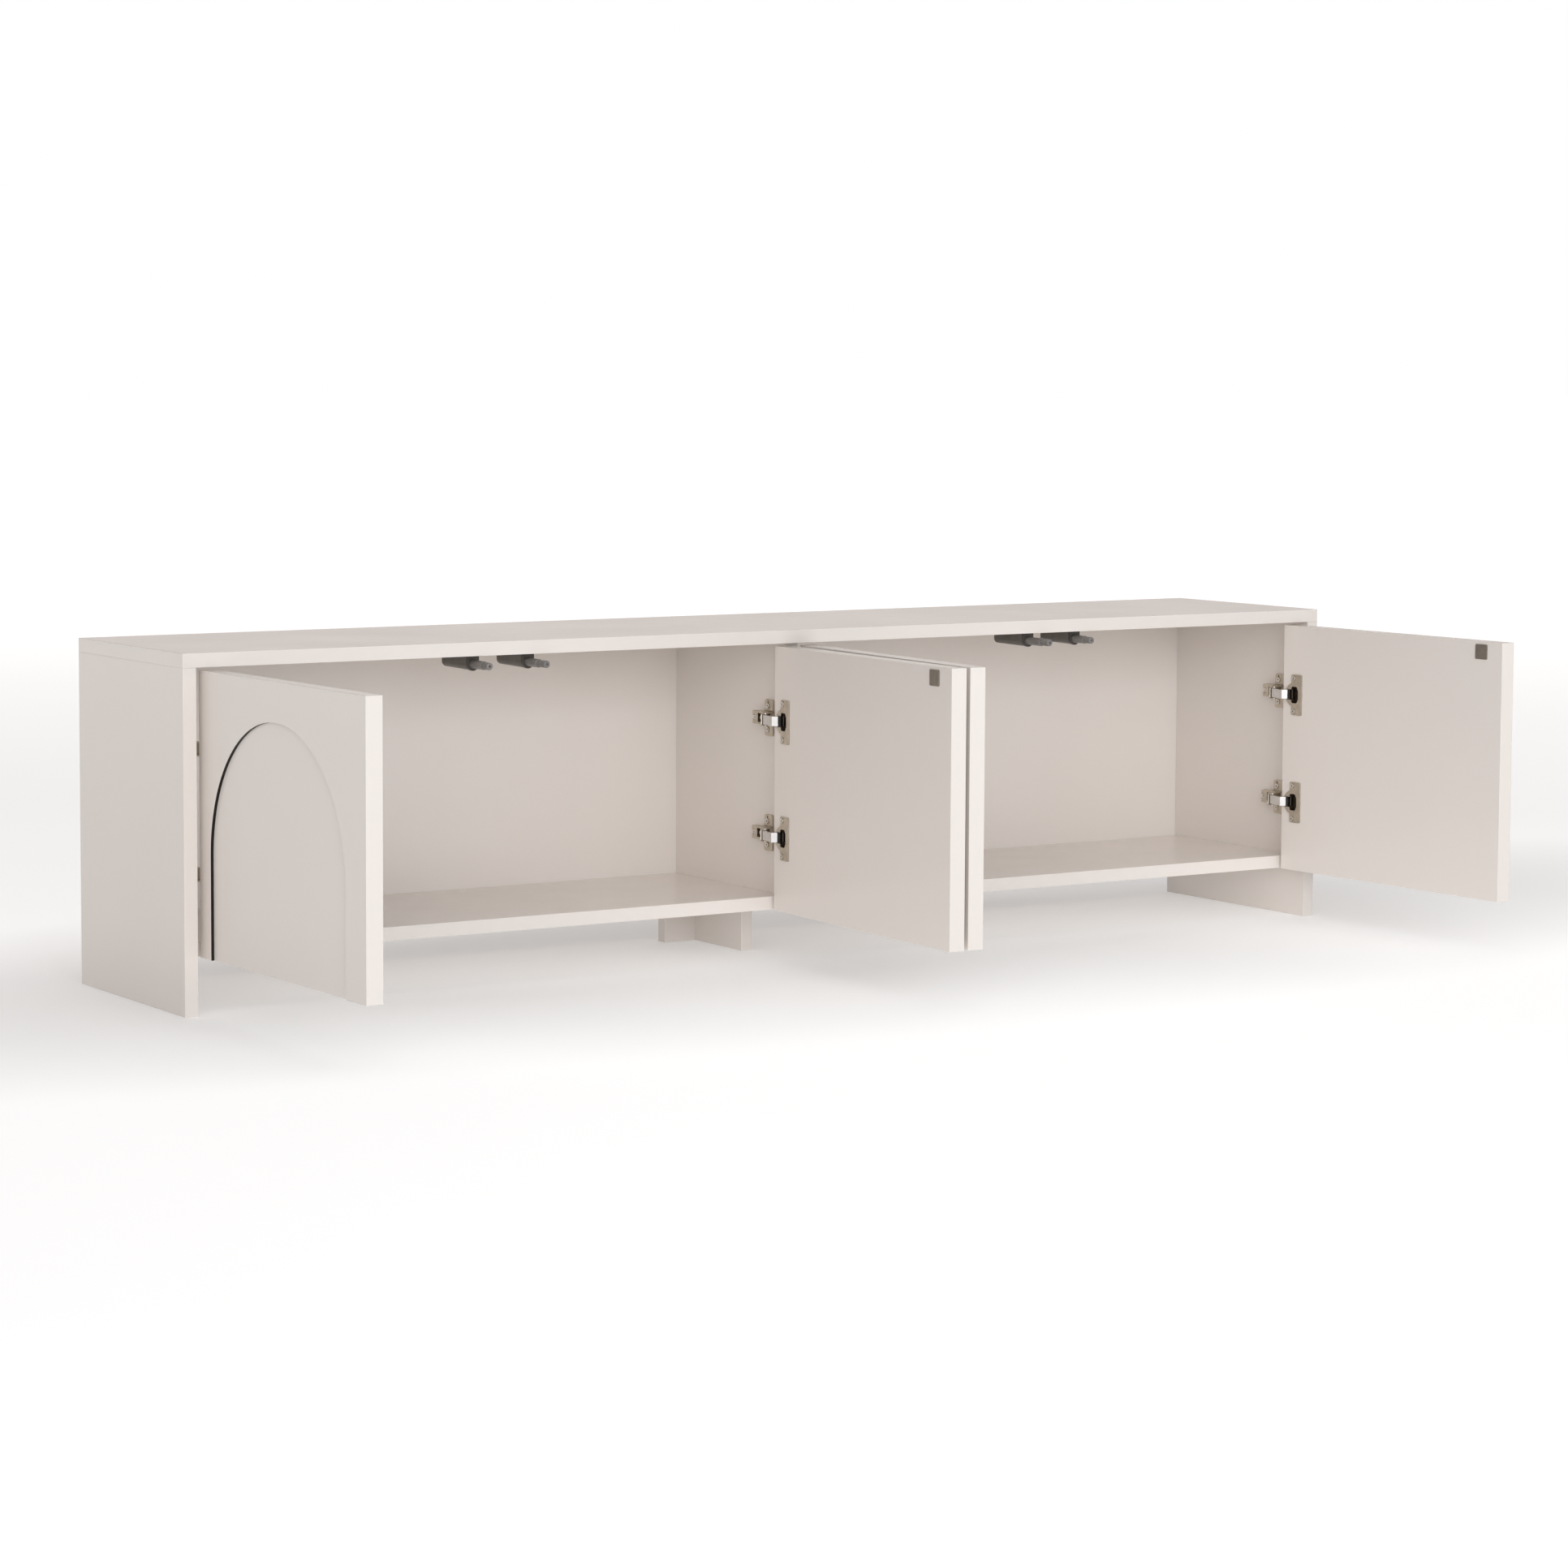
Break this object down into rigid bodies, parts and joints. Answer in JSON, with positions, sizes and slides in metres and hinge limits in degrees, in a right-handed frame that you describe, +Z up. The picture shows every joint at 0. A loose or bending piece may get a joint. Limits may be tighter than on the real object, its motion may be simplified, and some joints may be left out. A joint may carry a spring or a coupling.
{
  "type": "tv stand with doors",
  "caption": "Long low TV stand: open board case on side panels and a T-shaped centre foot, with arch-relief doors on concealed hinges and push latches.",
  "frame": {"origin": "middle of the case's footprint on the floor, on the underside of the centre foot's front-to-back board", "axes": "+Z up, +X along the length to the right seen from the front, doors face -Y"},
  "size_m": [1.8, 0.7392, 0.448],
  "materials": {
    "lacquered_board": "satin lacquer on board",
    "arch_band": "dark edging",
    "bare_wood": "bare",
    "nickel_steel": "nickel-plated",
    "bright_link": "bright",
    "latch_dark": "satin",
    "latch_grey": "satin",
    "strike_steel": "brushed"
  },
  "bodies": {
    "case": {"top_panel": "lacquered_board", "left_side_panel": "lacquered_board", "right_side_panel": "lacquered_board", "bottom_panel": "lacquered_board", "back_panel": "lacquered_board", "centre_partition": "lacquered_board", "centre_foot_long_board": "lacquered_board", "centre_foot_cross_board": "lacquered_board", "board_dowels": "bare_wood", "hinge_mounting_plates": "nickel_steel", "hinge_plate_screws": "nickel_steel", "inset_hinge_arms": "nickel_steel", "half_lap_hinge_arms": "nickel_steel", "hinge_arm_pins": "nickel_steel", "hinge_rear_screws": "nickel_steel", "hinge_slot_screws": "nickel_steel", "latch_housings": "latch_dark", "latch_screws": "nickel_steel"},
    "link_1": {"hinge_links_1": "bright_link"},
    "door_1": {"door_1_panel": "lacquered_board", "door_1_arch_frame": "lacquered_board", "door_1_arch_band": "arch_band", "door_1_hinge_cups": "nickel_steel", "door_1_cup_pins": "nickel_steel", "door_1_cup_screws": "nickel_steel", "door_1_strike_plate": "strike_steel"},
    "plunger_1": {"latch_tube_1": "latch_grey", "latch_tip_1": "latch_grey"},
    "link_2": {"hinge_links_2": "bright_link"},
    "door_2": {"door_2_panel": "lacquered_board", "door_2_arch_frame": "lacquered_board", "door_2_arch_band": "arch_band", "door_2_hinge_cups": "nickel_steel", "door_2_cup_pins": "nickel_steel", "door_2_cup_screws": "nickel_steel", "door_2_strike_plate": "strike_steel"},
    "plunger_2": {"latch_tube_2": "latch_grey", "latch_tip_2": "latch_grey"},
    "link_3": {"hinge_links_3": "bright_link"},
    "door_3": {"door_3_panel": "lacquered_board", "door_3_arch_frame": "lacquered_board", "door_3_arch_band": "arch_band", "door_3_hinge_cups": "nickel_steel", "door_3_cup_pins": "nickel_steel", "door_3_cup_screws": "nickel_steel", "door_3_strike_plate": "strike_steel"},
    "plunger_3": {"latch_tube_3": "latch_grey", "latch_tip_3": "latch_grey"},
    "link_4": {"hinge_links_4": "bright_link"},
    "door_4": {"door_4_panel": "lacquered_board", "door_4_arch_frame": "lacquered_board", "door_4_arch_band": "arch_band", "door_4_hinge_cups": "nickel_steel", "door_4_cup_pins": "nickel_steel", "door_4_cup_screws": "nickel_steel", "door_4_strike_plate": "strike_steel"},
    "plunger_4": {"latch_tube_4": "latch_grey", "latch_tip_4": "latch_grey"}
  },
  "joints": [
    {"name": "door_1_swing", "type": "hinge", "parent": "link_1", "child": "door_1", "pos_m": [-0.85874, -0.15445, 0.248], "axis": [0, 0, -1], "range_deg": [-109.25, 10.31]},
    {"name": "link_1_turn", "type": "hinge", "parent": "case", "child": "link_1", "pos_m": [-0.8501, -0.1231, 0.248], "axis": [0, 0, -1], "range_deg": [-1.87, 19.71]},
    {"name": "plunger_1_slide", "type": "slide", "parent": "case", "child": "plunger_1", "axis": [0, 1, 0], "range_m": [-0.00312, 0.03301]},
    {"name": "door_2_swing", "type": "hinge", "parent": "link_2", "child": "door_2", "pos_m": [-0.02256, -0.15436, 0.248], "axis": [0, 0, 1], "range_deg": [-106.14, 0]},
    {"name": "link_2_turn", "type": "hinge", "parent": "case", "child": "link_2", "pos_m": [-0.0315, -0.1231, 0.248], "axis": [0, 0, 1], "range_deg": [-0.01, 19.15]},
    {"name": "plunger_2_slide", "type": "slide", "parent": "case", "child": "plunger_2", "axis": [0, 1, 0], "range_m": [-0.00001, 0.03801]},
    {"name": "door_3_swing", "type": "hinge", "parent": "link_3", "child": "door_3", "pos_m": [0.02346, -0.15461, 0.248], "axis": [0, 0, -1], "range_deg": [-115.29, 0]},
    {"name": "link_3_turn", "type": "hinge", "parent": "case", "child": "link_3", "pos_m": [0.0315, -0.1231, 0.248], "axis": [0, 0, -1], "range_deg": [-0.01, 20.8]},
    {"name": "plunger_3_slide", "type": "slide", "parent": "case", "child": "plunger_3", "axis": [0, 1, 0], "range_m": [-0.00001, 0.03901]},
    {"name": "door_4_swing", "type": "hinge", "parent": "link_4", "child": "door_4", "pos_m": [0.85845, -0.15452, 0.248], "axis": [0, 0, 1], "range_deg": [-112.12, 7.44]},
    {"name": "link_4_turn", "type": "hinge", "parent": "case", "child": "link_4", "pos_m": [0.8501, -0.1231, 0.248], "axis": [0, 0, 1], "range_deg": [-1.35, 20.23]},
    {"name": "plunger_4_slide", "type": "slide", "parent": "case", "child": "plunger_4", "axis": [0, 1, 0], "range_m": [-0.00187, 0.02801]}
  ],
  "couplings": [
    {"joint": "link_1_turn", "follows": "door_1_swing", "ratio": -0.18033},
    {"joint": "plunger_1_slide", "follows": "door_1_swing", "m_per_rad": -0.017307},
    {"joint": "link_2_turn", "follows": "door_2_swing", "ratio": -0.18033},
    {"joint": "plunger_2_slide", "follows": "door_2_swing", "m_per_rad": -0.020513},
    {"joint": "link_3_turn", "follows": "door_3_swing", "ratio": -0.18033},
    {"joint": "plunger_3_slide", "follows": "door_3_swing", "m_per_rad": -0.019382},
    {"joint": "link_4_turn", "follows": "door_4_swing", "ratio": -0.18033},
    {"joint": "plunger_4_slide", "follows": "door_4_swing", "m_per_rad": -0.014309}
  ]
}
